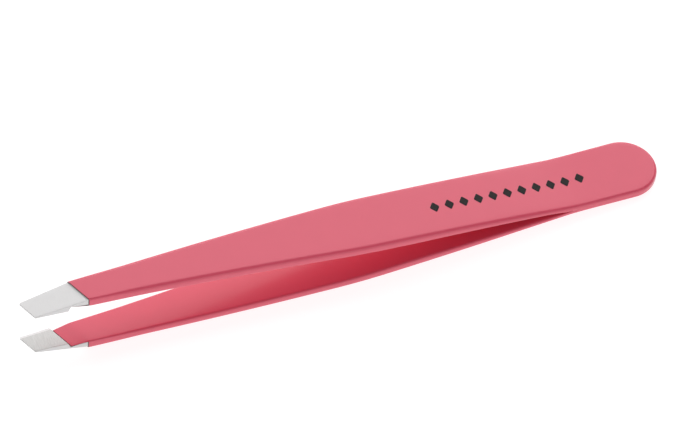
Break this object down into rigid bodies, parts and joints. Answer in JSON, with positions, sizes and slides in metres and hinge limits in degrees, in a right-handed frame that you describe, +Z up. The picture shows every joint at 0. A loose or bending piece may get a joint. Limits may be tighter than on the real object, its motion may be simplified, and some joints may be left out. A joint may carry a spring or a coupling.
{
  "type": "slant tweezers",
  "caption": "Spring-arm tweezers with slanted bare steel tips, an enamelled body and a welded rounded head, for plucking fine hair.",
  "frame": {"origin": "on the table under the middle of the tweezers' length and width, as they rest on the lower arm's belly and the end of the head", "axes": "+X from the tips to the head, +Y across the blades towards the longer corner of the slanted tips, +Z up from the table"},
  "size_m": [0.095, 0.0096, 0.0122],
  "materials": {
    "blade_steel": "satin ground stainless steel, with fine brushed lines across the tips",
    "weld_steel": "fused steel of the spot welds, hidden inside the head",
    "pink_enamel": "smooth semi-gloss coral pink baked enamel",
    "black_ink": "matt black printed ink"
  },
  "bodies": {
    "head": {"upper_tang": "blade_steel", "lower_tang": "blade_steel", "spot_welds": "weld_steel", "head_enamel": "pink_enamel", "mark_on_head": "black_ink"},
    "upper_arm": {"upper_arm": "blade_steel", "upper_enamel": "pink_enamel", "mark_on_arm": "black_ink"},
    "lower_arm": {"lower_arm": "blade_steel", "lower_enamel": "pink_enamel"}
  },
  "joints": [
    {"name": "upper_arm_bend", "type": "hinge", "parent": "head", "child": "upper_arm", "pos_m": [0.02761, 0, 0.00313], "axis": [0, -1, 0], "range_deg": [0, 2.84], "stiffness_Nm_per_rad": 2},
    {"name": "lower_arm_bend", "type": "hinge", "parent": "head", "child": "lower_arm", "pos_m": [0.02748, 0, 0.00115], "axis": [0, 1, 0], "range_deg": [0, 2.84], "stiffness_Nm_per_rad": 2}
  ]
}
